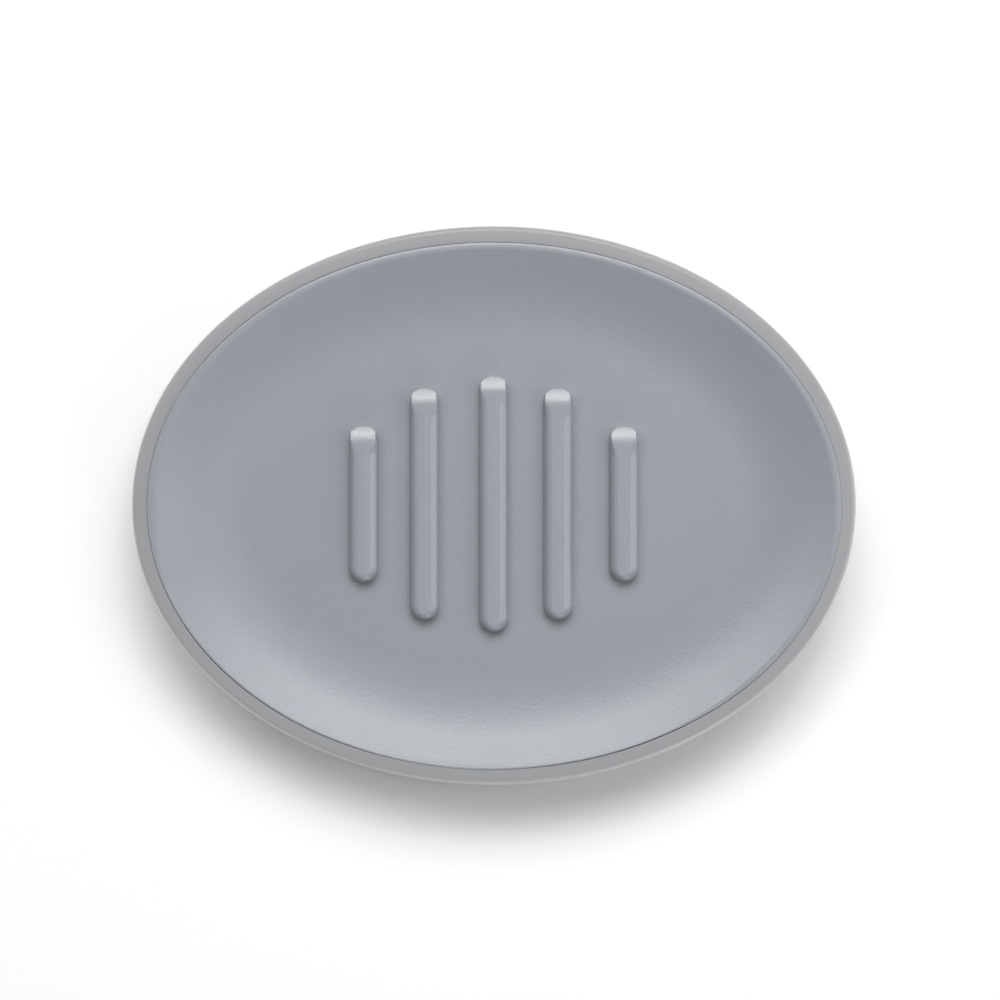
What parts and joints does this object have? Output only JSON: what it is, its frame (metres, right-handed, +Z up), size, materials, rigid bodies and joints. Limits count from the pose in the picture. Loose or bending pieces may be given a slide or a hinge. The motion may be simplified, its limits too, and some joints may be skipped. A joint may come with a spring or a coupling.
{
  "type": "soap dish",
  "caption": "Oval soap dish: a shallow rounded outer bowl holding a dished lift-out tray with raised soap ribs, standing on non-slip pads.",
  "frame": {"origin": "middle of the footprint, on the surface that the dish stands on", "axes": "+X along the long axis, +Y across it away from the user, +Z up"},
  "size_m": [0.14, 0.108, 0.016],
  "materials": {
    "shell_plastic": "smooth satin soft-touch, neutral grey",
    "tray_plastic": "fine spark-eroded matte grain, cool grey",
    "pad_rubber": "matte, dark grey"
  },
  "bodies": {
    "shell": {"outer_shell": "shell_plastic", "foot_pad_back_left": "pad_rubber", "foot_pad_back_right": "pad_rubber", "foot_pad_front_left": "pad_rubber", "foot_pad_front_right": "pad_rubber"},
    "tray": {"inner_tray": "tray_plastic"}
  },
  "joints": [
    {"name": "tray_lift", "type": "slide", "parent": "shell", "child": "tray", "axis": [0, 0, 1], "range_m": [0, 0.03]}
  ]
}
